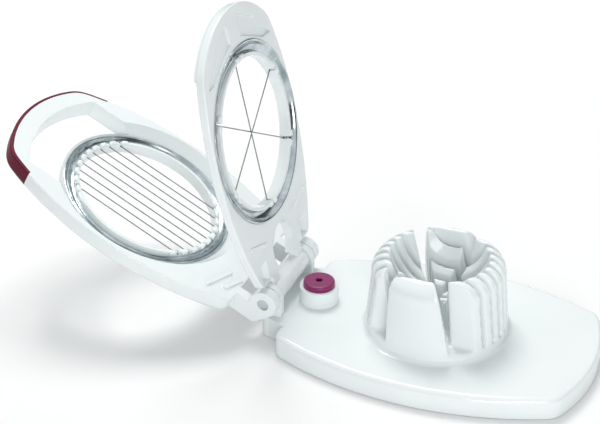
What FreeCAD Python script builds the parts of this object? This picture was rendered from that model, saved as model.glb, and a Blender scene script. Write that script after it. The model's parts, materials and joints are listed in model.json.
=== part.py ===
"""Egg slicer with a finned cup, a wedge frame, a slicing frame and an egg piercer.

Lengths are millimetres. The origin is on the underside of the base, below the middle of the cup.
X runs from the hinge to the free end of the base, Y along the hinge pin, Z up.
"""
import FreeCAD, Part
import Sketcher
import math
import os

Vector = FreeCAD.Vector
WEDGE_TURN = 60
WEDGE_ANGLES = (WEDGE_TURN, 0, -WEDGE_TURN)
WIRES_PER_SIDE = 4
RING_BULGE = 0.2
PAST = 1.0
doc = FreeCAD.newDocument("egg_slicer")
sheet = doc.addObject("Spreadsheet::Sheet", "Sizes")

SIZES = {
    "hinge_reach": 69.0, "hinge_height": 17.5, "pin_radius": 2.5, "pin_play": 0.05, "pin_length": 48.6,
    "wedger_angle": 102.5, "slicer_angle": 153.0,
    "base_height": 9.5, "base_wall": 4.0, "base_roof": 2.5, "base_edge": 2.2, "base_start": 8.0,
    "base_start_half": 33.0, "base_wide_at": 1.0, "base_wide_half": 47.7, "base_end_at": 59.0,
    "base_end_half": 35.0, "base_tip": 69.0, "base_tip_radius": 80.0, "base_corner": 9.0, "base_heel": 6.0,
    "tongue_end": 3.0, "tongue_root_half": 26.0, "tongue_tip_half": 21.5, "tongue_round": 4.0,
    "lug_radius": 6.0, "lug_inner": 16.0, "lug_thick": 3.5,
    "cover_thick": 2.0, "cover_rim": 2.0, "cover_play": 0.1, "socket_rise": 2.0, "socket_play": 0.6,
    "cup_radius": 30.3, "cup_floor": 13.5, "cup_top": 44.0, "cup_top_radius": 22.0, "cup_shoulder": 35.0,
    "cup_shoulder_radius": 28.0, "cup_spigot": 27.0, "cup_skin": 2.5, "rim_round": 1.2,
    "bowl_half_length": 20.8, "bowl_half_width": 20.9, "bowl_half_height": 22.9, "bowl_centre": 47.0,
    "wire_pitch": 5.0, "wire_radius": 0.25, "slice_slot": 2.0,
    "wedge_trail_low": -1.0, "wedge_trail_high": 1.2, "wedge_lean_low": 1.3, "wedge_lean_high": 6.8,
    "opening_radius": 31.75, "collar_wall": 1.45, "seat_radius": 37.6, "notch_width": 1.0, "notch_play": 0.3,
    "ring_gauge": 0.6, "ring_lip": 1.2, "ring_play": 0.05,
    "wedger_low": -2.8, "wedger_high": 1.0, "wedger_collar_high": 2.0, "wedger_wire_level": 0.0,
    "wedger_start": 8.0, "wedger_start_half": 26.0, "wedger_wide_at": 68.0, "wedger_wide_half": 39.8,
    "wedger_end_at": 106.0, "wedger_end_half": 33.8, "wedger_tip": 124.0, "wedger_tip_radius": 42.0,
    "wedger_corner": 14.0, "wedger_heel": 4.0, "wedger_seat_depth": 2.7, "wedger_skirt": 2.5,
    "wedger_skirt_from": 106.0, "knuckle_radius": 5.0, "knuckle_half": 15.5, "button_gap": 10.0,
    "slicer_low": 2.4, "slicer_high": 10.5, "slicer_wire_level": 7.0, "slicer_seat_level": 7.0,
    "slicer_start": 12.0, "slicer_start_half": 31.5, "slicer_wide_at": 65.0, "slicer_wide_half": 45.0,
    "slicer_end_at": 112.0, "slicer_end_half": 37.0, "slicer_tip": 134.0, "slicer_tip_radius": 58.0,
    "slicer_corner": 14.0, "slicer_heel": 5.0, "slicer_seat_depth": 2.4, "slicer_collar_rise": 1.4,
    "dish_radius": 43.0, "dish_play": 0.4,
    "ear_radius": 6.0, "ear_inner": 20.0, "ear_thick": 5.0, "ear_back": 4.5, "ear_cheek": 4.0,
    "ear_throat": 6.5, "ear_root": 4.0, "housing_radius": 39.5,
    "handle_half": 30.0, "handle_bar": 9.5, "handle_round": 56.0, "grip_from": 112.0, "grip_thick": 1.5,
    "button_at": 15.8, "button_radius": 6.73, "button_top": 19.3, "button_hole": 1.45, "button_soft": 0.8,
    "button_play": 0.1, "button_flange": 7.6, "button_cavity": 4.2, "button_roof": 2.0, "flange_thick": 1.0,
    "boss_radius": 8.4, "boss_top": 16.8, "needle_radius": 0.6, "needle_below": 0.6, "needle_point": 2.5,
    "spring_radius": 3.4, "spring_wire": 0.3, "spring_turns": 8.0,
    "ridge_width": 2.2, "ridge_height": 0.7, "ridge_lean": -18.0, "plate_edge": 0.8, "slicer_edge": 3.0,
    "wedger_ridge_at": 25.7, "wedger_ridge_side": 22.0, "wedger_ridge_half": 8.0,
    "outer_ridge_at": 22.2, "outer_ridge_side": 23.6, "outer_ridge_half": 8.5,
    "inner_ridge_at": 15.9, "inner_ridge_side": 21.5, "inner_ridge_half": 6.0,
    "window_at": 13.5, "window_side": 21.5, "window_length": 9.0, "window_width": 6.5,
    "panel_from": 101.0, "panel_to": 119.5, "panel_rib": 5.0, "panel_margin": 4.0, "panel_depth": 1.2,
    "panel_slant": 9.0, "panel_nose": 6.0, "panel_taper": 13.0, "panel_foot": 6.0,
}
for row, (alias, number) in enumerate(SIZES.items(), start=1):
    sheet.set("A%d" % row, alias)
    sheet.set("B%d" % row, str(number))
    sheet.setAlias("B%d" % row, alias)
doc.recompute()


def size(alias):
    """A driving dimension as a number."""
    return float(sheet.get(alias))


def from_hinge(alias):
    """The place along X of something that is measured from the hinge axis."""
    return size(alias) - size("hinge_reach")


def bind(thing, prop, formula):
    """Ties a property to a formula over the sheet; words in braces are aliases."""
    thing.setExpression(prop, formula.replace("{", "Sizes.").replace("}", ""))


def new_body(name):
    made = doc.addObject("PartDesign::Body", name)
    made.Label = name
    return made


def plane_of(owner, role):
    return [item for item in owner.Origin.OriginFeatures if item.Role == role][0]


def new_sketch(owner, role, name, level="0"):
    """A sketch on one of the body's origin planes, lifted along the plane's normal."""
    made = owner.newObject("Sketcher::SketchObject", owner.Name + "_" + name)
    made.AttachmentSupport = [(plane_of(owner, role), "")]
    made.MapMode = "FlatFace"
    bind(made, "AttachmentOffset.Base.z", level)
    return made


def draw(sketch, segments):
    """Draws lines and three-point arcs one after the other."""
    for points in segments:
        flat = [Vector(x, y, 0) for x, y in points]
        sketch.addGeometry(Part.LineSegment(*flat) if len(flat) == 2 else Part.ArcOfCircle(*flat))


def polygon(points):
    return [(points[i], points[(i + 1) % len(points)]) for i in range(len(points))]


def rectangle(x_low, y_low, x_high, y_high):
    return polygon([(x_low, y_low), (x_high, y_low), (x_high, y_high), (x_low, y_high)])


def turned(segments, degrees, x, y):
    """Segments turned about the origin and moved to x, y."""
    cosine = math.cos(math.radians(degrees))
    sine = math.sin(math.radians(degrees))
    return [[(x + cosine * a - sine * b, y + sine * a + cosine * b) for a, b in points]
            for points in segments]


def capsule(x, y, half_length, half_width):
    """A slot with round ends, long side along the second axis."""
    straight = half_length - half_width
    return [((x + half_width, y - straight), (x + half_width, y + straight)),
            ((x + half_width, y + straight), (x, y + half_length), (x - half_width, y + straight)),
            ((x - half_width, y + straight), (x - half_width, y - straight)),
            ((x - half_width, y - straight), (x, y - half_length), (x + half_width, y - straight))]


def circle(sketch, x, y, radius):
    """A circle whose radius follows a formula over the sheet."""
    index = sketch.addGeometry(Part.Circle(Vector(x, y, 0), Vector(0, 0, 1), 1.0))
    sketch.addConstraint(Sketcher.Constraint("Radius", index, 1.0))
    name = "radius_%d" % index
    sketch.renameConstraint(sketch.ConstraintCount - 1, name)
    bind(sketch, "Constraints." + name, radius)


def feature(owner, kind, sketch, length, flipped, gains):
    """A pad or pocket that must change the volume the right way."""
    doc.recompute()
    before = owner.Shape.Volume if owner.Tip and not owner.Shape.isNull() else 0.0
    made = owner.newObject("PartDesign::" + kind, sketch.Name + "_" + kind)
    made.Profile = sketch
    made.Reversed = flipped
    bind(made, "Length", length)
    doc.recompute()
    after = owner.Shape.Volume
    if (after > before + 0.01) != gains or (after < before - 0.01) == gains:
        raise RuntimeError("%s changed %s from %.1f to %.1f" % (made.Name, owner.Name, before, after))
    return made


def pad(owner, sketch, length, flipped=False):
    return feature(owner, "Pad", sketch, length, flipped, True)


def pocket(owner, sketch, length, flipped=True):
    return feature(owner, "Pocket", sketch, length, flipped, False)


def level_edges(shape, level):
    """Names of the edges that lie flat at a height."""
    names = []
    for number, edge in enumerate(shape.Edges, start=1):
        box = edge.BoundBox
        if abs(box.ZMin - level) < 0.01 and abs(box.ZMax - level) < 0.01:
            names.append("Edge%d" % number)
    return names


def round_edges(owner, base, edges, radius):
    made = owner.newObject("PartDesign::Fillet", base.Name + "_round")
    made.Base = (base, edges)
    bind(made, "Radius", radius)
    doc.recompute()
    return made


def revolve(owner, sketch):
    """A full turn about the sketch's upright axis."""
    made = owner.newObject("PartDesign::Revolution", sketch.Name + "_turn")
    made.Profile = sketch
    made.ReferenceAxis = (sketch, ["V_Axis"])
    made.Angle = 360
    doc.recompute()
    return made


def circle_through(first, second, third):
    """Centre and radius of the circle through three points."""
    ring = Part.Circle(*[Vector(x, y, 0) for x, y in (first, second, third)])
    return ring.Center.x, ring.Center.y, ring.Radius


def between(centre, radius, start, end):
    """The middle of the shorter arc between two points of a circle."""
    x = (start[0] + end[0]) / 2 - centre[0]
    y = (start[1] + end[1]) / 2 - centre[1]
    scale = radius / math.hypot(x, y)
    return centre[0] + x * scale, centre[1] + y * scale


def mirrored(segments):
    """The same run on the other side of the middle line, walked the other way."""
    return [[(x, -y) for x, y in reversed(points)] for points in reversed(segments)]


class Outline:
    """A symmetric plan shape: bulged sides, a round tip and a straight end at the hinge."""

    def __init__(self, stem, inset=0.0):
        self.start = from_hinge("base_start") if stem == "base" else size(stem + "_start")
        side = [(self.start, size(stem + "_start_half")),
                (size(stem + "_wide_at"), size(stem + "_wide_half")),
                (size(stem + "_end_at"), size(stem + "_end_half"))]
        self.tip = size(stem + "_tip")
        self.corner = size(stem + "_corner")
        self.heel = size(stem + "_heel")
        self.inset = inset
        x, y, self.side_radius = circle_through(*side)
        self.side_centre = (x, y)
        self.tip_radius = size(stem + "_tip_radius")
        self.tip_centre = (self.tip - self.tip_radius, 0.0)
        self.place_corner()
        self.place_heel()

    def place_corner(self):
        """The round corner touches the side and the tip from inside."""
        reach_side = self.side_radius - self.corner
        reach_tip = self.tip_radius - self.corner
        dx = self.tip_centre[0] - self.side_centre[0]
        dy = self.tip_centre[1] - self.side_centre[1]
        gap = math.hypot(dx, dy)
        along = (gap ** 2 + reach_side ** 2 - reach_tip ** 2) / (2 * gap)
        across = math.sqrt(reach_side ** 2 - along ** 2)
        base = (self.side_centre[0] + along * dx / gap, self.side_centre[1] + along * dy / gap)
        options = [(base[0] + sign * across * dy / gap, base[1] - sign * across * dx / gap)
                   for sign in (1, -1)]
        self.corner_centre = max(options)

    def place_heel(self):
        """The round heel touches the side and the straight end."""
        x = self.start + self.heel
        reach = self.side_radius - self.heel
        self.heel_centre = (x, self.side_centre[1] + math.sqrt(reach ** 2 - (x - self.side_centre[0]) ** 2))

    def toward(self, centre, target, radius):
        """The point of a circle in the direction of a target."""
        gap = math.hypot(target[0] - centre[0], target[1] - centre[1])
        return (centre[0] + (target[0] - centre[0]) * radius / gap,
                centre[1] + (target[1] - centre[1]) * radius / gap)

    def side_at(self, x):
        """Half width where the side crosses x."""
        radius = self.side_radius - self.inset
        return self.side_centre[1] + math.sqrt(radius ** 2 - (x - self.side_centre[0]) ** 2)

    def marks(self):
        """Where heel, side, corner and tip meet, on the upper side."""
        side = self.side_radius - self.inset
        heel_low = (self.start + self.inset, self.heel_centre[1])
        heel_high = self.toward(self.side_centre, self.heel_centre, side)
        side_end = self.toward(self.side_centre, self.corner_centre, side)
        tip_start = self.toward(self.tip_centre, self.corner_centre, self.tip_radius - self.inset)
        return heel_low, heel_high, side_end, tip_start

    def nose(self, start):
        """The upper run from a point of the side to the tip's start."""
        _, _, side_end, tip_start = self.marks()
        side = self.side_radius - self.inset
        corner = self.corner - self.inset
        return [(start, between(self.side_centre, side, start, side_end), side_end),
                (side_end, between(self.corner_centre, corner, side_end, tip_start), tip_start)]

    def tip_arc(self):
        tip_start = self.marks()[3]
        return [(tip_start, (self.tip - self.inset, 0.0), (tip_start[0], -tip_start[1]))]

    def closed(self):
        heel_low, heel_high, _, _ = self.marks()
        heel = self.heel - self.inset
        upper = [(heel_low, between(self.heel_centre, heel, heel_low, heel_high), heel_high)]
        upper += self.nose(heel_high)
        end = [((heel_low[0], -heel_low[1]), heel_low)]
        return end + upper + self.tip_arc() + mirrored(upper)

    def outside_nose(self, x, margin):
        """The space round the tip beyond x, out to a margin."""
        start = (x, self.side_at(x))
        upper = self.nose(start)
        far = self.tip + margin
        wide = start[1] + margin
        frame = [((x, -start[1]), (x, -wide)), ((x, -wide), (far, -wide)), ((far, -wide), (far, wide)),
                 ((far, wide), (x, wide)), ((x, wide), start)]
        return frame + upper + self.tip_arc() + mirrored(upper)


def hung(angle):
    """The placement of a frame that hangs on the hinge, lifted from closed by an angle."""
    return FreeCAD.Placement(Vector(-size("hinge_reach"), 0, size("hinge_height")),
                             FreeCAD.Rotation(Vector(0, -1, 0), size(angle)))


def ears(owner, segments_list, inner, thick):
    """Plates across the hinge axis, one on each side."""
    for side, level in (("front", "{%s}" % inner), ("back", "-{%s} - {%s}" % (inner, thick))):
        for number, segments in enumerate(segments_list):
            sketch = new_sketch(owner, "XZ_Plane", "%s_ear_%d" % (side, number), level)
            draw(sketch, segments)
            pad(owner, sketch, "{%s}" % thick)


def round_ear(radius):
    return [((radius, 0), (0, radius), (-radius, 0)), ((-radius, 0), (0, -radius), (radius, 0))]


def cross_bore(owner, half_span, radius, x=0.0, z=0.0):
    """A hole along the hinge axis."""
    sketch = new_sketch(owner, "XZ_Plane", "bore", "-(%s)" % half_span)
    circle(sketch, x, z, radius)
    pocket(owner, sketch, "2 * (%s)" % half_span)


def make_base():
    body = new_body("base_shell")
    plan = new_sketch(body, "XY_Plane", "plan")
    draw(plan, Outline("base").closed())
    block = pad(body, plan, "{base_height}")
    round_edges(body, block, level_edges(block.Shape, size("base_height")), "{base_edge}")
    tongue = new_sketch(body, "XY_Plane", "tongue")
    root = from_hinge("base_start") + size("base_edge") + PAST
    end, corner = -size("hinge_reach") - size("tongue_end"), size("tongue_round")
    wide, narrow = size("tongue_root_half"), size("tongue_tip_half")
    straight = narrow - corner
    tip = (end + corner * (1 - math.sqrt(0.5)), straight + corner * math.sqrt(0.5))
    upper = [((end, straight), tip, (end + corner, narrow)), ((end + corner, narrow), (root, wide))]
    back, front = [((root, wide), (root, -wide))], [((end, -straight), (end, straight))]
    draw(tongue, upper + back + mirrored(upper) + front)
    pad(body, tongue, "{base_height}")
    radius, reach, rise = size("lug_radius"), -size("hinge_reach"), size("hinge_height")
    floor = size("base_height") - PAST
    post = [((reach - radius, rise), (reach - radius, floor)),
            ((reach - radius, floor), (reach + radius, floor)),
            ((reach + radius, floor), (reach + radius, rise)),
            ((reach + radius, rise), (reach, rise + radius), (reach - radius, rise))]
    ears(body, [post], "lug_inner", "lug_thick")
    boss = new_sketch(body, "XY_Plane", "boss", "{base_height} - %s" % PAST)
    circle(boss, from_hinge("button_at"), 0, "{boss_radius}")
    pad(body, boss, "{boss_top} - {base_height} + %s" % PAST)
    cross_bore(body, "{lug_inner} + {lug_thick} + %s" % PAST, "{pin_radius}", reach, rise)
    hollow = new_sketch(body, "XY_Plane", "hollow")
    draw(hollow, Outline("base", size("base_wall")).closed())
    pocket(body, hollow, "{base_height} - {base_roof}")
    rebate = new_sketch(body, "XY_Plane", "rebate")
    draw(rebate, Outline("base", size("cover_rim")).closed())
    pocket(body, rebate, "{cover_thick}")
    seat = new_sketch(body, "XY_Plane", "cup_seat")
    circle(seat, 0, 0, "{cup_spigot}")
    pocket(body, seat, "{base_height} + %s" % PAST)
    guide = new_sketch(body, "XY_Plane", "guide")
    circle(guide, from_hinge("button_at"), 0, "{button_radius} + {button_play}")
    pocket(body, guide, "{boss_top} + %s" % PAST)
    flange = new_sketch(body, "XY_Plane", "flange_room", "{cover_thick}")
    circle(flange, from_hinge("button_at"), 0, "{button_flange} + 2 * {button_play}")
    pocket(body, flange, "{base_height} - {button_play} - {cover_thick}")
    return body


def make_cover():
    body = new_body("base_cover")
    plan = new_sketch(body, "XY_Plane", "plan")
    draw(plan, Outline("base", size("cover_rim") + size("cover_play")).closed())
    pad(body, plan, "{cover_thick}")
    socket = new_sketch(body, "XY_Plane", "socket", "{cover_thick} / 2")
    circle(socket, from_hinge("button_at"), 0, "{spring_radius} - {spring_wire} - {socket_play}")
    pad(body, socket, "{cover_thick} / 2 + {socket_rise}")
    hole = new_sketch(body, "XY_Plane", "needle_hole", "{cover_thick} / 2")
    circle(hole, from_hinge("button_at"), 0, "{needle_radius}")
    pocket(body, hole, "{cover_thick} + {socket_rise}")
    return body


def wedge_slot_sketch(body, label, side, level, trail, lean):
    """The slot of a slanting wedge wire, which comes down from the hinge side on an arc."""
    sketch = new_sketch(body, "XY_Plane", "wedge_" + label, level)
    length = size("cup_radius") + PAST
    slot = rectangle(-length, size(trail), length, size(lean))
    if side < 0:
        slot = mirrored(slot)
    draw(sketch, turned(slot, side * WEDGE_TURN, 0, 0))
    return sketch


def slice_places():
    """Where the slicing wires lie across the frame."""
    return [number * size("wire_pitch") for number in range(-WIRES_PER_SIDE, WIRES_PER_SIDE + 1)]


def cup_profile(body):
    """Half of the cup's section: hollow spigot, foot, wall and a rolled-over top."""
    sketch = new_sketch(body, "XZ_Plane", "profile")
    inside = size("cup_floor") - size("cup_skin")
    spigot, bore = size("cup_spigot"), size("cup_spigot") - size("cup_skin")
    step, foot = size("cover_thick"), size("base_height")
    shoulder = (size("cup_shoulder_radius"), size("cup_shoulder"))
    top = (size("cup_top_radius"), size("cup_top"))
    roll = math.sqrt(0.5)
    crown = (top[0] + (shoulder[0] - top[0]) * roll, shoulder[1] + (top[1] - shoulder[1]) * roll)
    wall = [(0, inside), (bore, inside), (bore, step), (spigot, step), (spigot, foot),
            (size("cup_radius"), foot), shoulder]
    run = [(wall[i], wall[i + 1]) for i in range(len(wall) - 1)]
    draw(sketch, run + [(shoulder, crown, top), (top, (0, top[1])), ((0, top[1]), (0, inside))])
    return sketch


def make_cup():
    body = new_body("egg_cup")
    revolve(body, cup_profile(body))
    bowl = body.newObject("PartDesign::SubtractiveEllipsoid", "egg_cup_bowl")
    bowl.AttachmentSupport = [(plane_of(body, "XY_Plane"), "")]
    bowl.MapMode = "FlatFace"
    bind(bowl, "AttachmentOffset.Base.z", "{bowl_centre}")
    bind(bowl, "Radius1", "{bowl_half_height}")
    bind(bowl, "Radius2", "{bowl_half_length}")
    bind(bowl, "Radius3", "{bowl_half_width}")
    bowl.Angle1, bowl.Angle2, bowl.Angle3 = -90, 90, 360
    doc.recompute()
    rim = []
    for name in level_edges(bowl.Shape, size("cup_top")):
        if bowl.Shape.getElement(name).BoundBox.XMax < size("bowl_half_length"):
            rim.append(name)
    round_edges(body, bowl, rim, "{rim_round}")
    slots = new_sketch(body, "YZ_Plane", "slice_slots", "-{cup_radius} - %s" % PAST)
    half = size("slice_slot") / 2
    for middle in slice_places():
        draw(slots, rectangle(middle - half, size("cup_floor"), middle + half, size("cup_top") + PAST))
    pocket(body, slots, "2 * {cup_radius} + 2 * %s" % PAST)
    flanks = new_sketch(body, "XY_Plane", "flanks", "{cup_floor}")
    near, far = WIRES_PER_SIDE * size("wire_pitch") - half, size("cup_radius") + PAST
    cotangent = 1 / math.tan(math.radians(WEDGE_TURN))
    corner = [(near * cotangent, near), (far, near), (far, far), (far * cotangent, far)]
    slot_edge = -size("wedge_lean_low") / math.sin(math.radians(WEDGE_TURN))
    for x_side, shift in ((1, slot_edge), (-1, 0.0)):
        for y_side in (1, -1):
            draw(flanks, polygon([(x_side * x + shift, y_side * y) for x, y in corner]))
    pocket(body, flanks, "{cup_top} - {cup_floor}")
    for side, label in ((1, "back"), (-1, "front")):
        slot = body.newObject("PartDesign::SubtractiveLoft", "egg_cup_wedge_slot_" + label)
        slot.Profile = wedge_slot_sketch(body, label + "_low", side, "{cup_floor}",
                                         "wedge_trail_low", "wedge_lean_low")
        slot.Sections = [wedge_slot_sketch(body, label + "_high", side, "{cup_top} + %s" % PAST,
                                           "wedge_trail_high", "wedge_lean_high")]
        slot.Ruled = True
        doc.recompute()
    return body


def make_button():
    body = new_body("piercer_button")
    profile = new_sketch(body, "XZ_Plane", "profile")
    top, radius, hole = size("button_top"), size("button_radius"), size("button_hole")
    roof = top - size("button_roof")
    flange_top = size("base_height") - 2 * size("button_play")
    flange = flange_top - size("flange_thick")
    soft = size("button_soft")
    dip = soft * (1 - math.sqrt(0.5))
    corner = ((radius, top - soft), (radius - dip, top - dip), (radius - soft, top))
    points = [(radius - soft, top), (hole, top), (hole, roof), (size("button_cavity"), roof),
              (size("button_cavity"), flange), (size("button_flange"), flange),
              (size("button_flange"), flange_top),
              (radius, flange_top), (radius, top - soft)]
    draw(profile, [(points[i], points[i + 1]) for i in range(len(points) - 1)] + [corner])
    revolve(body, profile)
    body.Placement.Base.x = from_hinge("button_at")
    return body


def make_needle():
    body = new_body("piercer_needle")
    profile = new_sketch(body, "XZ_Plane", "profile")
    tip = size("button_top") - size("needle_below")
    radius, foot = size("needle_radius"), size("cover_thick") / 2
    draw(profile, polygon([(0, foot), (radius, foot), (radius, tip - size("needle_point")), (0, tip)]))
    revolve(body, profile)
    body.Placement.Base.x = from_hinge("button_at")
    return body


def make_spring():
    """A coil between the cover and the roof of the button's cavity."""
    wire = size("spring_wire")
    low = size("cover_thick") + wire
    high = size("button_top") - size("button_roof") - wire
    pitch = (high - low) / size("spring_turns")
    helix = Part.makeHelix(pitch, high - low, size("spring_radius"))
    section = Part.Wire(Part.makeCircle(wire, Vector(size("spring_radius"), 0, 0), Vector(0, 1, 0)))
    coil = Part.Wire(helix.Edges).makePipeShell([section], True, True)
    made = doc.addObject("Part::Feature", "piercer_spring")
    made.Label = "piercer_spring"
    made.Shape = coil
    made.Placement = FreeCAD.Placement(Vector(from_hinge("button_at"), 0, low), FreeCAD.Rotation())
    print("spring gap between turns %.2f mm" % (pitch - 2 * wire))
    return made


def make_pin():
    pin = doc.addObject("Part::Cylinder", "hinge_pin")
    pin.Label = "hinge_pin"
    bind(pin, "Radius", "{pin_radius}")
    bind(pin, "Height", "{pin_length}")
    end = Vector(-size("hinge_reach"), -size("pin_length") / 2, size("hinge_height"))
    pin.Placement = FreeCAD.Placement(end, FreeCAD.Rotation(Vector(1, 0, 0), -90))
    return pin


def make_wire(name, angle, level, turn, offset):
    """A straight wire across the opening: turned from the frame's long axis, moved sideways."""
    collar = size("opening_radius") + size("collar_wall")
    half = math.sqrt(collar ** 2 - offset ** 2)
    wire = doc.addObject("Part::Cylinder", name)
    wire.Label = name
    bind(wire, "Radius", "{wire_radius}")
    bind(wire, "Height", "2 * sqrt(({opening_radius} + {collar_wall}) ^ 2 - (%s) ^ 2)" % offset)
    spin = FreeCAD.Rotation(Vector(0, 0, 1), turn)
    start = spin.multVec(Vector(-half, offset, 0)) + Vector(size("hinge_reach"), 0, level)
    lie = spin.multiply(FreeCAD.Rotation(Vector(0, 1, 0), 90))
    wire.Placement = hung(angle).multiply(FreeCAD.Placement(start, lie))
    return wire


def make_ring(name, angle, level, depth):
    """A thin steel channel with a lip on the frame's face."""
    body = new_body(name)
    profile = new_sketch(body, "XZ_Plane", "profile")
    seat, gauge, lip = size("seat_radius"), size("ring_gauge"), size("ring_lip")
    inner = size("opening_radius") + size("collar_wall") + size("ring_play")
    outer = seat - size("ring_play")
    deep = size(depth)
    slope = math.hypot(seat - inner, deep)
    bulge = RING_BULGE * (seat - inner) * deep / slope
    bulge_out, bulge_in = bulge * deep / slope, bulge * (seat - inner) / slope
    below = ((outer + inner) / 2 + bulge_out, deep / 2 + bulge_in)
    above = ((seat - gauge + inner) / 2 + bulge_out, deep / 2 - gauge + bulge_in)
    draw(profile, [((seat + lip, -gauge), (seat + lip, 0)), ((seat + lip, 0), (outer, 0)),
                   ((outer, 0), below, (inner, deep)), ((inner, deep), (inner, deep - gauge)),
                   ((inner, deep - gauge), above, (seat - gauge, -gauge)),
                   ((seat - gauge, -gauge), (seat + lip, -gauge))])
    revolve(body, profile)
    body.Placement = hung(angle).multiply(
        FreeCAD.Placement(Vector(size("hinge_reach"), 0, size(level)), FreeCAD.Rotation()))
    return body


def ring_seat(body, low, level, high, depth):
    """The through opening, and the channel below a level that the steel ring lies in."""
    reach = size("hinge_reach")
    hole = new_sketch(body, "XY_Plane", "opening", "{%s} - %s" % (low, PAST))
    circle(hole, reach, 0, "{opening_radius}")
    pocket(body, hole, "{%s} - {%s} + 2 * %s" % (high, low, PAST))
    seat = new_sketch(body, "XY_Plane", "seat", "{%s}" % level)
    circle(seat, reach, 0, "{opening_radius} + {collar_wall}")
    circle(seat, reach, 0, "{seat_radius}")
    pocket(body, seat, "{%s}" % depth)


def ridge(body, stem, low):
    """A low raised bar on a frame's inner face, and its twin on the other side."""
    for side, label in ((1, "back"), (-1, "front")):
        sketch = new_sketch(body, "XY_Plane", "%s_ridge_%s" % (stem, label), "{%s}" % low)
        bar = capsule(0, 0, size(stem + "_ridge_half"), size("ridge_width") / 2)
        place = (size(stem + "_ridge_at"), side * size(stem + "_ridge_side"))
        draw(sketch, turned(bar, side * size("ridge_lean"), *place))
        pad(body, sketch, "{ridge_height}", True)


def make_wedger():
    body = new_body("wedger_frame")
    reach = size("hinge_reach")
    plan = new_sketch(body, "XY_Plane", "plan", "{wedger_low}")
    draw(plan, Outline("wedger").closed())
    plate = pad(body, plan, "{wedger_high} - {wedger_low}")
    edges = level_edges(plate.Shape, size("wedger_low")) + level_edges(plate.Shape, size("wedger_high"))
    round_edges(body, plate, edges, "{plate_edge}")
    skirt = new_sketch(body, "XY_Plane", "skirt", "{wedger_high} - %s" % PAST)
    edge = size("plate_edge")
    draw(skirt, Outline("wedger", edge).closed() + Outline("wedger", edge + size("wedger_skirt")).closed())
    pad(body, skirt, "{wedger_collar_high} - {wedger_high} + %s" % PAST)
    bare = new_sketch(body, "XY_Plane", "bare_sides", "{wedger_high}")
    wide = size("wedger_wide_half") + PAST
    draw(bare, rectangle(0, -wide, size("wedger_skirt_from"), wide))
    pocket(body, bare, "{wedger_collar_high} - {wedger_high} + %s" % PAST)
    collar = new_sketch(body, "XY_Plane", "collar", "{wedger_low}")
    circle(collar, reach, 0, "{opening_radius} + {collar_wall}")
    pad(body, collar, "{wedger_collar_high} - {wedger_low}")
    arms = new_sketch(body, "XY_Plane", "arms", "{wedger_low}")
    end = size("wedger_start") + size("wedger_heel")
    for side in (1, -1):
        draw(arms, rectangle(0, side * size("button_gap"), end, side * size("knuckle_half")))
    pad(body, arms, "{wedger_high} - {wedger_low}")
    knuckle = new_sketch(body, "XZ_Plane", "knuckle", "-{knuckle_half}")
    circle(knuckle, 0, 0, "{knuckle_radius}")
    pad(body, knuckle, "2 * {knuckle_half}")
    ring_seat(body, "wedger_low", "wedger_low", "wedger_collar_high", "wedger_seat_depth")
    gap = new_sketch(body, "XY_Plane", "button_gap", "{wedger_low} - %s" % PAST)
    circle(gap, size("button_at"), 0, "{button_gap}")
    pocket(body, gap, "{wedger_high} - {wedger_low} + 2 * %s" % PAST)
    windows = new_sketch(body, "XY_Plane", "windows", "{wedger_low} - %s" % PAST)
    for side in (1, -1):
        middle = side * size("window_side")
        half_x, half_y = size("window_length") / 2, size("window_width") / 2
        at = size("window_at")
        draw(windows, rectangle(at - half_x, middle - half_y, at + half_x, middle + half_y))
    pocket(body, windows, "{wedger_high} - {wedger_low} + 2 * %s" % PAST)
    panel_inset = Outline("wedger", size("panel_margin"))
    for side, label in ((1, "back"), (-1, "front")):
        panel = new_sketch(body, "XY_Plane", "panel_" + label, "{wedger_low}")
        near, far = size("panel_from"), size("panel_to")
        slim, wide = size("panel_rib"), panel_inset.side_at(near)
        corners = [(near + size("panel_slant"), side * slim), (far, side * slim),
                   (far - size("panel_nose"), side * (wide - size("panel_taper"))), (near, side * wide),
                   (near, side * (wide - size("panel_foot")))]
        draw(panel, polygon(corners))
        pocket(body, panel, "{panel_depth}")
    for number, angle in enumerate(WEDGE_ANGLES):
        notch = new_sketch(body, "XY_Plane", "notch_%d" % number, "{wedger_low}")
        half = size("opening_radius") + size("collar_wall") + size("notch_play")
        side = size("notch_width") / 2
        draw(notch, turned(rectangle(-half, -side, half, side), angle, reach, 0))
        pocket(body, notch, "{wedger_wire_level} + %d * {wire_radius} + {wire_radius} - {wedger_low}"
               % (2 * (number - 1)))
    cross_bore(body, "{knuckle_half} + %s" % PAST, "{pin_radius} + {pin_play}")
    ridge(body, "wedger", "wedger_low")
    body.Placement = hung("wedger_angle")
    return body


def slicer_block(name):
    """The slicing frame's whole outside, before anything is cut from it."""
    body = new_body(name)
    plan = new_sketch(body, "XY_Plane", "plan", "{slicer_low}")
    draw(plan, Outline("slicer").closed())
    plate = pad(body, plan, "{slicer_high} - {slicer_low}")
    first = round_edges(body, plate, level_edges(plate.Shape, size("slicer_high")), "{slicer_edge}")
    round_edges(body, first, level_edges(first.Shape, size("slicer_low")), "{plate_edge}")
    return body


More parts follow.
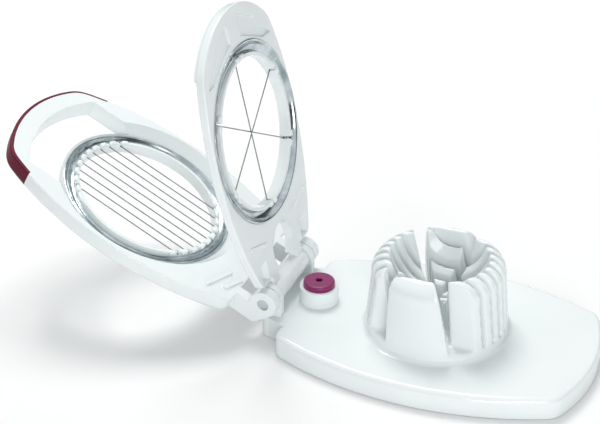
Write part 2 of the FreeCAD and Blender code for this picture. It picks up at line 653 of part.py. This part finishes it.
def sink_ring(body):
    """The round dish that puts the ring below the side rails, and the collar that stands in it."""
    dish = body.newObject("PartDesign::SubtractiveCone", "slicer_frame_dish")
    dish.AttachmentSupport = [(plane_of(body, "XY_Plane"), "")]
    dish.MapMode = "FlatFace"
    bind(dish, "AttachmentOffset.Base.x", "{hinge_reach}")
    bind(dish, "AttachmentOffset.Base.z", "{slicer_low}")
    bind(dish, "Radius1", "{dish_radius}")
    bind(dish, "Radius2", "{seat_radius} + {ring_lip} + {dish_play}")
    bind(dish, "Height", "{slicer_seat_level} - {slicer_low}")
    dish.Angle = 360
    doc.recompute()
    collar = new_sketch(body, "XY_Plane", "collar", "{slicer_seat_level}")
    circle(collar, size("hinge_reach"), 0, "{opening_radius} + {collar_wall}")
    pad(body, collar, "{slicer_collar_rise}", True)


def make_slicer():
    body = slicer_block("slicer_frame")
    reach = size("hinge_reach")
    low, high, cheek = size("slicer_low"), size("slicer_high"), size("ear_cheek")
    root = size("slicer_start") + size("ear_root")
    arm = polygon([(-size("ear_back"), cheek), (0.0, high), (root, high), (root, low),
                   (size("ear_throat"), low), (cheek, 0.0), (0.0, 0.0)])
    ears(body, [arm, round_ear(size("ear_radius"))], "ear_inner", "ear_thick")
    sink_ring(body)
    ring_seat(body, "slicer_low", "slicer_seat_level", "slicer_high", "slicer_seat_depth")
    handle = new_sketch(body, "XY_Plane", "handle", "{slicer_low} - %s" % PAST)
    half, housing, bow = size("handle_half"), size("housing_radius"), size("handle_round")
    bar = size("slicer_tip") - size("handle_bar")
    near = reach + math.sqrt(housing ** 2 - half ** 2)
    far = bar - bow + math.sqrt(bow ** 2 - half ** 2)
    draw(handle, [((near, -half), (reach + housing, 0), (near, half)), ((near, half), (far, half)),
                  ((far, half), (bar, 0), (far, -half)), ((far, -half), (near, -half))])
    pocket(body, handle, "{slicer_high} - {slicer_low} + 2 * %s" % PAST)
    notches = new_sketch(body, "XY_Plane", "notches", "{slicer_low}")
    for y in slice_places():
        half = math.sqrt((size("opening_radius") + size("collar_wall")) ** 2 - y ** 2) + size("notch_play")
        side = size("notch_width") / 2
        draw(notches, rectangle(reach - half, y - side, reach + half, y + side))
    pocket(body, notches, "{slicer_wire_level} + {wire_radius} - {slicer_low}")
    recess = new_sketch(body, "XY_Plane", "grip_recess", "{slicer_low} - %s" % PAST)
    draw(recess, Outline("slicer", size("grip_thick")).outside_nose(size("grip_from"), size("slicer_corner")))
    pocket(body, recess, "{slicer_high} - {slicer_low} + 2 * %s" % PAST)
    cross_bore(body, "{ear_inner} + {ear_thick} + %s" % PAST, "{pin_radius} + {pin_play}")
    ridge(body, "outer", "slicer_low")
    ridge(body, "inner", "slicer_low")
    body.Placement = hung("slicer_angle")
    return body


def make_grip():
    """The soft strip fills the recess round the handle end, flush with the frame."""
    body = slicer_block("slicer_grip")
    through = "{slicer_high} - {slicer_low} + 2 * %s" % PAST
    core = new_sketch(body, "XY_Plane", "core", "{slicer_low} - %s" % PAST)
    draw(core, Outline("slicer", size("grip_thick")).closed())
    pocket(body, core, through)
    away = new_sketch(body, "XY_Plane", "away", "{slicer_low} - %s" % PAST)
    wide = size("slicer_wide_half") + PAST
    draw(away, rectangle(size("slicer_start") - PAST, -wide, size("grip_from"), wide))
    pocket(body, away, through)
    body.Placement = hung("slicer_angle")
    return body


pieces = [make_base(), make_cover(), make_cup(), make_pin(), make_button(), make_needle(), make_spring(),
          make_wedger(), make_ring("wedger_ring", "wedger_angle", "wedger_low", "wedger_seat_depth"),
          make_slicer(), make_ring("slicer_ring", "slicer_angle", "slicer_seat_level", "slicer_seat_depth"),
          make_grip()]
for number, angle in enumerate(WEDGE_ANGLES):
    level = size("wedger_wire_level") + 2 * (number - 1) * size("wire_radius")
    pieces.append(make_wire("wedger_wire_%d" % (number + 1), "wedger_angle", level, angle, 0.0))
for number, offset in enumerate(reversed(slice_places())):
    name = "slicer_wire_%d" % (number + 1)
    pieces.append(make_wire(name, "slicer_angle", size("slicer_wire_level"), 0.0, offset))
doc.recompute()

faults = [item.Name for item in doc.Objects if "Invalid" in item.State or "Error" in item.State]
faults += [item.Label for item in pieces if item.Shape.isNull() or not item.Shape.isValid()]
if faults:
    raise RuntimeError("failed: " + ", ".join(faults))
os.makedirs("parts", exist_ok=True)
for item in pieces:
    item.Shape.exportStep(os.path.join("parts", item.Label + ".step"))
    print("%-18s %9.1f mm3, solids %d" % (item.Label, item.Shape.Volume, len(item.Shape.Solids)))
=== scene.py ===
# %% [markdown]
# # An egg slicer with two wire frames
# The slicer stands open: a flat base with a slotted cup, a frame with three crossed wires, a frame with
# nine parallel wires and a small piercer button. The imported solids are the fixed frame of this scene.
# Loading them first gives every later piece a place to sit on, in metres and in the same axes.

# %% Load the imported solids
import json
import math

import bpy
from mathutils import Matrix, Vector

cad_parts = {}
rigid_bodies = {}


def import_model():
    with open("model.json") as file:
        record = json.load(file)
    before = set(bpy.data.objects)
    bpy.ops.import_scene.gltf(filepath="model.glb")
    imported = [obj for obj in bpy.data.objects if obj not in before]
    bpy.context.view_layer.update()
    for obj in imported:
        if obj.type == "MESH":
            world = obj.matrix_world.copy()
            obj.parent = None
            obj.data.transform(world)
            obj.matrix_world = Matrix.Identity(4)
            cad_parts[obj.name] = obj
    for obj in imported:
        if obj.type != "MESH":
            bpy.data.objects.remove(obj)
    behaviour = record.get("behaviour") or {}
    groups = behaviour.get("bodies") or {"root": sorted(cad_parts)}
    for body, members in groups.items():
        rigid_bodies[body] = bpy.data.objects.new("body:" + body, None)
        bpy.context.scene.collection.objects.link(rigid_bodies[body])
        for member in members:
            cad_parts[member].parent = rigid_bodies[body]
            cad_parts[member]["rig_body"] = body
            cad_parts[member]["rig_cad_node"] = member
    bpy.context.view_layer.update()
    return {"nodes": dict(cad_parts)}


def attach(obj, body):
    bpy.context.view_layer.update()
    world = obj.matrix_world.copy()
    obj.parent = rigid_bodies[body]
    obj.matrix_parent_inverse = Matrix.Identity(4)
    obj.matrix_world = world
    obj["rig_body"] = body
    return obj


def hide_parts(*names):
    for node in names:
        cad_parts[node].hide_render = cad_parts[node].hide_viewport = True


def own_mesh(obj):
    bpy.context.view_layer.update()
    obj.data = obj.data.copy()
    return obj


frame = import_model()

nodes = frame["nodes"]
MM = 0.001

# %% [markdown]
# ## The camera
# A product picture like this is taken with a long lens from a little to the right and from above. The
# view is set by two angles and a distance round a point between the cup and the hinge. A turned empty
# would work too, but working the place out from the angles keeps the numbers readable.

# %% Place the camera
VIEW_AZIMUTH = math.radians(21.75)
VIEW_ELEVATION = math.radians(29.97)
VIEW_DISTANCE = 800.8 * MM
VIEW_TARGET = Vector((-62.04, 0.0, 50.94)) * MM
SENSOR_WIDTH_MM = 36.0
FOCAL_LENGTH_MM = 114.06
NEAR_CLIP = 0.01

toward_camera = Vector((
    math.sin(VIEW_AZIMUTH) * math.cos(VIEW_ELEVATION),
    -math.cos(VIEW_AZIMUTH) * math.cos(VIEW_ELEVATION),
    math.sin(VIEW_ELEVATION),
))
scene = bpy.context.scene
bpy.ops.object.select_all(action="DESELECT")
bpy.ops.object.camera_add(location=VIEW_TARGET + toward_camera * VIEW_DISTANCE)
camera = bpy.context.object
camera.name = "photo_camera"
camera.rotation_euler = toward_camera.to_track_quat("Z", "Y").to_euler()
camera.data.sensor_fit = "HORIZONTAL"
camera.data.sensor_width = SENSOR_WIDTH_MM
camera.data.lens = FOCAL_LENGTH_MM
camera.data.clip_start = NEAR_CLIP
scene.camera = camera
print("camera at", [round(value, 4) for value in camera.location])

# %% [markdown]
# ## The floor
# The slicer stands on a white table in a white studio. One large plane is enough, because the room is
# white to the eye as well and hides the plane's far edge. It lies a hair below the base, so that the two
# flat faces don't flicker through each other. The Standard view transform keeps white paper white.

# %% Lay the floor
FLOOR_SIZE = 6.0
FLOOR_LEVEL = -0.0003

scene.view_settings.view_transform = "Standard"
bpy.ops.object.select_all(action="DESELECT")
bpy.ops.mesh.primitive_plane_add(size=FLOOR_SIZE, location=(0.0, 0.0, FLOOR_LEVEL))
floor = bpy.context.object
floor.name = "table_top"
print("floor laid, metres wide:", FLOOR_SIZE)

# %% [markdown]
# The table's paint is pale and matt, so it takes the shadow. A part of its white is its own glow, and
# only for what the eye or a mirror sees, so it does not light the plastic from below more than a real
# table would. The Light Path node tells such rays from the rays that only light.

# %% Paint the floor
WHITE = (1.0, 1.0, 1.0, 1.0)
PAINT = (0.83, 0.83, 0.83, 1.0)
GLOW_LEVEL = 0.09


def seen_directly(tree):
    """One for rays from the eye, from a mirror or through glass, and zero for rays that only light."""
    path = tree.nodes.new("ShaderNodeLightPath")
    total = path.outputs["Is Camera Ray"]
    for name in ("Is Glossy Ray", "Is Transmission Ray"):
        either = tree.nodes.new("ShaderNodeMath")
        either.operation = "MAXIMUM"
        tree.links.new(total, either.inputs[0])
        tree.links.new(path.outputs[name], either.inputs[1])
        total = either.outputs[0]
    return total


table_white = bpy.data.materials.new("table_white")
table_white.use_nodes = True
tree = table_white.node_tree
tree.nodes.clear()
paint = tree.nodes.new("ShaderNodeBsdfDiffuse")
paint.inputs["Color"].default_value = PAINT
glow = tree.nodes.new("ShaderNodeEmission")
glow.inputs["Color"].default_value = WHITE
glow_level = tree.nodes.new("ShaderNodeMath")
glow_level.operation = "MULTIPLY"
glow_level.inputs[1].default_value = GLOW_LEVEL
tree.links.new(seen_directly(tree), glow_level.inputs[0])
tree.links.new(glow_level.outputs[0], glow.inputs["Strength"])
both = tree.nodes.new("ShaderNodeAddShader")
tree.links.new(paint.outputs[0], both.inputs[0])
tree.links.new(glow.outputs[0], both.inputs[1])
surface = tree.nodes.new("ShaderNodeOutputMaterial")
tree.links.new(both.outputs[0], surface.inputs["Surface"])
floor.data.materials.append(table_white)
print("floor painted:", table_white.name)

# %% [markdown]
# ## The studio light
# The room is white to the eye. Polished steel shows more than that: it mirrors the bright ceiling and
# the dim lower walls, which gives it dark and bright streaks. So the world has three readings: plain
# white for the eye, a ceiling-to-wall gradient for mirrors, and an even soft light for everything else.

# %% Three readings of the room
AMBIENT_COLOUR = (0.95, 0.985, 1.0, 1.0)
AMBIENT_LEVEL = 0.50
WALL_COLOUR = (0.94, 0.98, 1.0)
WALL_STOPS = ((0.0, 0.05), (0.30, 0.13), (0.48, 0.75), (1.0, 1.0))  # height and level of each stop

world = bpy.data.worlds.new("white_studio")
scene.world = world
world.use_nodes = True
tree = world.node_tree
tree.nodes.clear()
ambient = tree.nodes.new("ShaderNodeBackground")
ambient.inputs["Color"].default_value = AMBIENT_COLOUR
ambient.inputs["Strength"].default_value = AMBIENT_LEVEL
white = tree.nodes.new("ShaderNodeBackground")
white.inputs["Color"].default_value = WHITE
room = tree.nodes.new("ShaderNodeBackground")
direction = tree.nodes.new("ShaderNodeTexCoord")
split = tree.nodes.new("ShaderNodeSeparateXYZ")
walls = tree.nodes.new("ShaderNodeValToRGB")
while len(walls.color_ramp.elements) < len(WALL_STOPS):
    walls.color_ramp.elements.new(0.5)
for stop, (height, level) in zip(walls.color_ramp.elements, WALL_STOPS):
    stop.position = height
    stop.color = (*(level * part for part in WALL_COLOUR), 1.0)
tree.links.new(direction.outputs["Generated"], split.inputs[0])
tree.links.new(split.outputs["Z"], walls.inputs["Fac"])
tree.links.new(walls.outputs["Color"], room.inputs["Color"])
print("wall stops:", len(walls.color_ramp.elements))

# %% [markdown]
# Two Mix Shader nodes choose between the readings. The first tells a mirror from the eye, and the second
# tells both of them from plain light. Lamps alone could light the plastic as well, but then the steel
# would mirror black.

# %% Choose the reading by the kind of ray
path = tree.nodes.new("ShaderNodeLightPath")
mirrored = tree.nodes.new("ShaderNodeMixShader")
tree.links.new(path.outputs["Is Glossy Ray"], mirrored.inputs[0])
tree.links.new(white.outputs[0], mirrored.inputs[1])
tree.links.new(room.outputs[0], mirrored.inputs[2])
choose = tree.nodes.new("ShaderNodeMixShader")
tree.links.new(seen_directly(tree), choose.inputs[0])
tree.links.new(ambient.outputs[0], choose.inputs[1])
tree.links.new(mirrored.outputs[0], choose.inputs[2])
surface = tree.nodes.new("ShaderNodeOutputWorld")
tree.links.new(choose.outputs[0], surface.inputs["Surface"])
print("world readings: eye, mirror, light")

# %% [markdown]
# Two soft boxes light the table. The stronger one hangs behind the slicer and to the left, so the
# shadows gather under the open frames and creep out to the front. The weaker one stands low, to the
# right of the camera, and keeps the upright faces bright.


# %% Lamps
def soft_box(name, place, aim, width, power, colour):
    """A square lamp that faces the point aim, in metres and watts."""
    bpy.ops.object.select_all(action="DESELECT")
    bpy.ops.object.light_add(type="AREA", location=place)
    lamp = bpy.context.object
    lamp.name = name
    lamp.rotation_euler = (Vector(place) - Vector(aim)).to_track_quat("Z", "Y").to_euler()
    lamp.data.shape = "SQUARE"
    lamp.data.size = width
    lamp.data.energy = power
    lamp.data.color = colour


soft_box(
    "back_box", place=(-0.38, 0.5, 1.2), aim=(-0.05, 0.0, 0.0), width=0.6, power=11.2,
    colour=(1.0, 0.99, 0.98))
soft_box(
    "front_box", place=(0.55, -1.1, 0.32), aim=(-0.05, 0.0, 0.03), width=0.6, power=6.4,
    colour=(1.0, 1.0, 1.0))

# %% [markdown]
# ## The finishes
# Five finishes cover the whole object: glossy white plastic, two burgundy plastics, polished steel sheet
# and drawn steel wire. Each one starts as a Principled shader. A noise in Object coordinates then moves
# its colour, roughness and surface a little, because no moulded or drawn surface is perfectly even. A
# Bevel node rounds the light on sharp edges without a change to the mesh.

# %% Finish helper
PATCH_STOPS = (0.3, 0.7)
POLISH_SHARE = 0.4
GRAIN_STRENGTH = 0.5
EDGE_SAMPLES = 6


def finish(name, dark, light, patch_mm, rough, grain_mm, grain_depth_mm, edge_mm, **constants):
    """A Principled finish: colour drifts from dark to light, roughness and grain follow finer noise."""
    material = bpy.data.materials.new(name)
    material.use_nodes = True
    tree = material.node_tree
    shader = tree.nodes["Principled BSDF"]
    place = tree.nodes.new("ShaderNodeTexCoord")

    def noise(size_mm, detail):
        texture = tree.nodes.new("ShaderNodeTexNoise")
        texture.inputs["Scale"].default_value = 1.0 / (size_mm * MM)
        texture.inputs["Detail"].default_value = detail
        tree.links.new(place.outputs["Object"], texture.inputs["Vector"])
        return texture.outputs["Fac"]

    patches = tree.nodes.new("ShaderNodeValToRGB")
    for stop, position, colour in zip(patches.color_ramp.elements, PATCH_STOPS, (dark, light)):
        stop.position = position
        stop.color = (*colour, 1.0)
    tree.links.new(noise(patch_mm, detail=3.0), patches.inputs["Fac"])
    tree.links.new(patches.outputs["Color"], shader.inputs["Base Color"])

    polish = tree.nodes.new("ShaderNodeMapRange")
    polish.inputs["To Min"].default_value, polish.inputs["To Max"].default_value = rough
    tree.links.new(noise(patch_mm * POLISH_SHARE, detail=4.0), polish.inputs["Value"])
    tree.links.new(polish.outputs["Result"], shader.inputs["Roughness"])

    grain = tree.nodes.new("ShaderNodeBump")
    grain.inputs["Strength"].default_value = GRAIN_STRENGTH
    grain.inputs["Distance"].default_value = grain_depth_mm * MM
    tree.links.new(noise(grain_mm, detail=2.0), grain.inputs["Height"])
    soft_edges = tree.nodes.new("ShaderNodeBevel")
    soft_edges.samples = EDGE_SAMPLES
    soft_edges.inputs["Radius"].default_value = edge_mm * MM
    tree.links.new(soft_edges.outputs["Normal"], grain.inputs["Normal"])
    tree.links.new(grain.outputs["Normal"], shader.inputs["Normal"])
    for socket, value in constants.items():
        shader.inputs[socket.replace("_", " ")].default_value = value
    print("finish made:", material.name)
    return material


# %% [markdown]
# The white plastic is smooth enough to mirror the lamps softly. The grip is a soft strip with hardly
# any shine, and the button is a satin plastic of a lighter burgundy. Both steels are fully metallic.
# The sheet of the rings is polished, and the wires are darker and rougher, because drawing leaves fine
# lines.

# %% The five finishes
white_plastic = finish(
    "white_plastic", dark=(0.805, 0.85, 0.85), light=(0.84, 0.88, 0.88), patch_mm=40.0,
    rough=(0.06, 0.12), grain_mm=6.0, grain_depth_mm=0.02, edge_mm=0.3, IOR=1.5)
grip_rubber = finish(
    "grip_rubber", dark=(0.105, 0.003, 0.018), light=(0.14, 0.004, 0.026), patch_mm=12.0,
    rough=(0.40, 0.55), grain_mm=0.5, grain_depth_mm=0.03, edge_mm=0.3, Specular_IOR_Level=0.2)
button_plastic = finish(
    "button_plastic", dark=(0.20, 0.008, 0.09), light=(0.25, 0.011, 0.12), patch_mm=8.0,
    rough=(0.28, 0.40), grain_mm=0.7, grain_depth_mm=0.02, edge_mm=0.3, IOR=1.5)
polished_steel = finish(
    "polished_steel", dark=(0.36, 0.42, 0.44), light=(0.66, 0.71, 0.73), patch_mm=7.0,
    rough=(0.08, 0.20), grain_mm=1.5, grain_depth_mm=0.02, edge_mm=0.1, Metallic=1.0)
drawn_steel = finish(
    "drawn_steel", dark=(0.20, 0.21, 0.22), light=(0.30, 0.31, 0.32), patch_mm=3.0,
    rough=(0.24, 0.38), grain_mm=0.6, grain_depth_mm=0.01, edge_mm=0.05, Metallic=1.0)

# %% [markdown]
# Every solid gets one finish. Most are white mouldings, so only the others are listed by name. The
# twelve wires are told by their names.

# %% Put the finishes on the solids
FINISH_OF = {
    "slicer_grip": grip_rubber,
    "piercer_button": button_plastic,
    "piercer_needle": drawn_steel,
    "piercer_spring": drawn_steel,
    "wedger_ring": polished_steel,
    "slicer_ring": polished_steel,
    "hinge_pin": polished_steel,
}
for name, node in nodes.items():
    material = drawn_steel if "wire" in name else FINISH_OF.get(name, white_plastic)
    node.data.materials.clear()
    node.data.materials.append(material)
    print(name, "gets", material.name)

# %% [markdown]
# ## The egg cup
# The cup is moulded in one piece: every fin has soft edges and a rounded top. The solid gives the true
# slots and bowl but has crisp edges. A copy of it is welded, rebuilt from small even faces and relaxed,
# which rounds every edge by about a millimetre. Bevelling hundreds of short edges one by one would
# leave pinched corners where the slots cross.


# %% Modelling helpers
def only(piece):
    """Selects one object and makes it active."""
    bpy.ops.object.select_all(action="DESELECT")
    piece.select_set(True)
    bpy.context.view_layer.objects.active = piece


def apply_modifier(piece, kind, **settings):
    """Adds a modifier, sets it and applies it."""
    only(piece)
    modifier = piece.modifiers.new(kind.lower(), kind)
    for key, value in settings.items():
        setattr(modifier, key, value)
    bpy.ops.object.modifier_apply(modifier=modifier.name)


def weld(piece, gap):
    """Merges points that lie together, then turns all faces outwards."""
    only(piece)
    bpy.ops.object.mode_set(mode="EDIT")
    bpy.ops.mesh.select_all(action="SELECT")
    bpy.ops.mesh.remove_doubles(threshold=gap)
    bpy.ops.mesh.normals_make_consistent(inside=False)
    bpy.ops.object.mode_set(mode="OBJECT")


def smooth(piece):
    """Shades a piece as one smooth surface."""
    only(piece)
    bpy.ops.object.shade_smooth()


def dress(piece, material, body):
    """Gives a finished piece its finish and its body."""
    piece.data.materials.clear()
    piece.data.materials.append(material)
    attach(piece, body)
    print(piece.name, "faces:", len(piece.data.polygons))


# %% Soften the cup
WELD_GAP = 0.001 * MM
CUP_VOXEL = 0.65 * MM
RELAX_FACTOR = 0.5
RELAX_ROUNDS = 5

only(nodes["egg_cup"])
bpy.ops.object.duplicate()
soft_cup = bpy.context.object
soft_cup.name = "soft_egg_cup"
for key in ("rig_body", "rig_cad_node"):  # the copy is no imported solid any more
    if key in soft_cup:
        del soft_cup[key]
soft_cup.parent = None
weld(soft_cup, WELD_GAP)
apply_modifier(soft_cup, "REMESH", mode="VOXEL", voxel_size=CUP_VOXEL)
apply_modifier(soft_cup, "SMOOTH", factor=RELAX_FACTOR, iterations=RELAX_ROUNDS)
smooth(soft_cup)
dress(soft_cup, white_plastic, "base")
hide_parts("egg_cup")

# %% [markdown]
# ## The fillet at the cup's foot
# Where the cup meets the base a small fillet catches a bright line of light. It is turned like a bowl on
# a lathe: a circle is extruded and scaled from point to point of the section, and the two open ends are
# bridged. A Screw modifier could turn the section too, but the same helper also turns the rings below.


# %% Lathe
def lathe(name, centre, section, sides):
    """Turns a closed section, given as radius and height in millimetres, about an upright axis."""
    radius, height = section[0]
    bpy.ops.object.select_all(action="DESELECT")
    bpy.ops.mesh.primitive_circle_add(
        vertices=sides, radius=radius * MM, location=(centre[0] * MM, centre[1] * MM, height * MM))
    piece = bpy.context.object
    piece.name = name
    bpy.ops.object.transform_apply(location=True, rotation=False, scale=False)
    bpy.ops.object.mode_set(mode="EDIT")
    bpy.ops.mesh.select_all(action="SELECT")
    for (old_radius, old_height), (radius, height) in zip(section, section[1:]):
        rise = (0.0, 0.0, (height - old_height) * MM)
        bpy.ops.mesh.extrude_region_move(TRANSFORM_OT_translate={"value": rise})
        grow = radius / old_radius
        middle = (centre[0] * MM, centre[1] * MM, height * MM)
        bpy.ops.transform.resize(value=(grow, grow, 1.0), center_override=middle)
    bpy.ops.mesh.select_all(action="DESELECT")
    bpy.ops.mesh.select_non_manifold()
    bpy.ops.mesh.bridge_edge_loops()
    bpy.ops.mesh.select_all(action="SELECT")
    bpy.ops.mesh.normals_make_consistent(inside=False)
    bpy.ops.object.mode_set(mode="OBJECT")
    return piece


# %% Foot fillet
FOOT_SIDES = 128
FOOT_SECTION = (  # its outer end starts below the top of the base, so that no thin edge shows
    (32.9, 9.2), (32.5, 9.42), (32.0, 9.53), (31.4, 9.66), (30.9, 9.92), (30.5, 10.4), (30.2, 11.1),
    (29.6, 11.1), (29.6, 9.2))

foot_fillet = lathe("cup_foot_fillet", (0.0, 0.0), FOOT_SECTION, FOOT_SIDES)
apply_modifier(foot_fillet, "SUBSURF", levels=1, render_levels=1)
smooth(foot_fillet)
dress(foot_fillet, white_plastic, "base")

# %% [markdown]
# ## The steel rings
# Each frame holds a pressed ring of polished steel: a rolled outer rim, a hollow channel and an upturned
# inner edge against the white collar. Rolled edges are what make polished sheet look like steel, because
# each one mirrors the whole room in a thin line. The ring is turned flat and then tilted onto its frame.

# %% Frame places
HINGE = Vector((-69.0, 0.0, 17.5)) * MM
REACH = 69.0
WEDGER_TILT = math.radians(102.5)
SLICER_TILT = math.radians(153.0)


def on_frame(tilt):
    """The matrix that lifts a piece drawn on a closed frame to where the open frame is."""
    return Matrix.Translation(HINGE) @ Matrix.Rotation(-tilt, 4, "Y")


def settle(piece, matrix):
    """Moves a piece to its place and writes the place into its mesh."""
    only(piece)
    piece.matrix_world = matrix @ piece.matrix_world
    bpy.ops.object.transform_apply(location=True, rotation=True, scale=True)


for body, tilt in (("wedger", WEDGER_TILT), ("slicer", SLICER_TILT)):
    middle = on_frame(tilt) @ (Vector((REACH, 0.0, 0.0)) * MM)
    print(body, "ring stands round", [round(value, 4) for value in middle])


# %% Turn both rings
RING_SIDES = 144


def ring_section(face, depth):
    """The pressed section: over the rolled rim, down the channel, up the inner edge and back beneath."""
    bottom = face + depth
    return (
        (38.75, face - 0.05), (38.7, face - 0.40), (38.3, face - 0.62), (37.8, face - 0.50),
        (37.45, face - 0.1), (36.9, face + 0.35 * depth), (35.8, face + 0.68 * depth),
        (34.5, bottom - 0.45), (33.9, bottom - 0.55), (33.6, bottom - 1.10), (33.35, bottom - 1.15),
        (33.30, bottom - 0.6), (33.45, bottom - 0.12), (34.4, bottom - 0.08),
        (36.0, face + 0.78 * depth), (37.3, face + 0.38 * depth), (37.55, face - 0.02))


RINGS = (  # name, body, tilt, level of the face and depth of the channel in millimetres
    ("slicer_rolled_ring", "slicer", SLICER_TILT, 7.0, 2.4),
    ("wedger_rolled_ring", "wedger", WEDGER_TILT, -2.8, 2.7),
)
for name, body, tilt, face, depth in RINGS:
    ring = lathe(name, (REACH, 0.0), ring_section(face, depth), RING_SIDES)
    apply_modifier(ring, "SUBSURF", levels=1, render_levels=1)
    settle(ring, on_frame(tilt))
    smooth(ring)
    dress(ring, polished_steel, body)
    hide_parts(body + "_ring")

# %% [markdown]
# ## The wire posts
# The cutting wires end between small white posts that stand in a row on the collar. One post is a cube
# with rounded edges. The same steps make one at every place beside a wire, and the posts of a frame are
# joined, because on the real frame they are one moulding. An Array modifier would space them evenly
# round the ring, but their places follow the wires.


# %% Posts
POST_RADIUS = 33.0
POST_ROUNDING = 0.55 * MM
POST_SEGMENTS = 3
CREASE_ANGLE = math.radians(40.0)


def post_ring(name, angles, level, size_mm, matrix):
    """Rounded posts at angles in degrees round a frame's ring, all at one level."""
    posts = []
    for angle in angles:
        turn = math.radians(angle)
        place = (
            (REACH + POST_RADIUS * math.cos(turn)) * MM, POST_RADIUS * math.sin(turn) * MM, level * MM)
        bpy.ops.object.select_all(action="DESELECT")
        bpy.ops.mesh.primitive_cube_add(size=1.0, location=place, rotation=(0.0, 0.0, turn))
        post = bpy.context.object
        post.scale = [length * MM for length in size_mm]
        bpy.ops.object.transform_apply(location=True, rotation=True, scale=True)
        apply_modifier(post, "BEVEL", width=POST_ROUNDING, segments=POST_SEGMENTS)
        posts.append(post)
    only(posts[0])
    for post in posts:
        post.select_set(True)
    bpy.ops.object.join()
    made = bpy.context.object
    made.name = name
    settle(made, matrix)
    bpy.ops.object.shade_smooth_by_angle(angle=CREASE_ANGLE)
    return made


# %% [markdown]
# The slicer has a post at each side of all nine wires, so ten at each end, half a pitch from the wires.
# The wedger has a pair of posts at each of its six wire ends.

# %% Posts of both frames
WIRE_PITCH = 5.0
COLLAR_RADIUS = 33.2
SLICER_ROW = 10
SLICER_POST_LEVEL = 6.1
SLICER_POST_SIZE = (2.0, 3.0, 1.8)
WEDGER_ENDS = 6
WEDGER_POST_ASIDE = 3.6
WEDGER_POST_LEVEL = -2.4
WEDGER_POST_SIZE = (2.0, 2.8, 1.8)

slicer_angles = []
for number in range(SLICER_ROW):
    across = (number - (SLICER_ROW - 1) / 2.0) * WIRE_PITCH
    angle = math.degrees(math.asin(across / COLLAR_RADIUS))
    slicer_angles += [angle, 180.0 - angle]
slicer_posts = post_ring(
    "slicer_wire_posts", slicer_angles, SLICER_POST_LEVEL, SLICER_POST_SIZE, on_frame(SLICER_TILT))
dress(slicer_posts, white_plastic, "slicer")

wedger_angles = [
    360.0 / WEDGER_ENDS * number + side * WEDGER_POST_ASIDE
    for number in range(WEDGER_ENDS) for side in (-1, 1)]
wedger_posts = post_ring(
    "wedger_wire_posts", wedger_angles, WEDGER_POST_LEVEL, WEDGER_POST_SIZE, on_frame(WEDGER_TILT))
dress(wedger_posts, white_plastic, "wedger")

# %% [markdown]
# ## The spring under the button
# The coil is hidden in the boss, but it has to shorten when the button goes down.

# %% Wind the spring
SPRING_FOOT = Vector((-53.2, 0.0, 2.3)) * MM
SPRING_RADIUS = 3.4 * MM
SPRING_WIRE = 0.3 * MM
SPRING_RISE = 14.7 * MM
SPRING_TURNS = 8
WIRE_SIDES = 8
TURN_STEPS = 24

bpy.ops.object.select_all(action="DESELECT")
bpy.ops.mesh.primitive_circle_add(
    vertices=WIRE_SIDES, radius=SPRING_WIRE, location=(SPRING_RADIUS, 0.0, 0.0),
    rotation=(math.pi / 2.0, 0.0, 0.0))
coil = bpy.context.object
coil.name = "wound_spring"
bpy.ops.object.transform_apply(location=True, rotation=True, scale=False)
apply_modifier(
    coil, "SCREW", axis="Z", angle=2.0 * math.pi, iterations=SPRING_TURNS, steps=TURN_STEPS,
    render_steps=TURN_STEPS, screw_offset=SPRING_RISE / SPRING_TURNS)
print("coil wound, turns:", SPRING_TURNS)

# %% [markdown]
# The two ends of the wound wire are still open. They are closed with a face each, so the coil is a solid
# like every other piece, and then it is set on the cover.

only(coil)
bpy.ops.object.mode_set(mode="EDIT")
bpy.ops.mesh.select_all(action="DESELECT")
bpy.ops.mesh.select_non_manifold()
bpy.ops.mesh.fill_holes(sides=0)
bpy.ops.object.mode_set(mode="OBJECT")
weld(coil, WELD_GAP)
settle(coil, Matrix.Translation(SPRING_FOOT))
smooth(coil)
dress(coil, drawn_steel, "base")
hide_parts("piercer_spring")
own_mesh(coil)
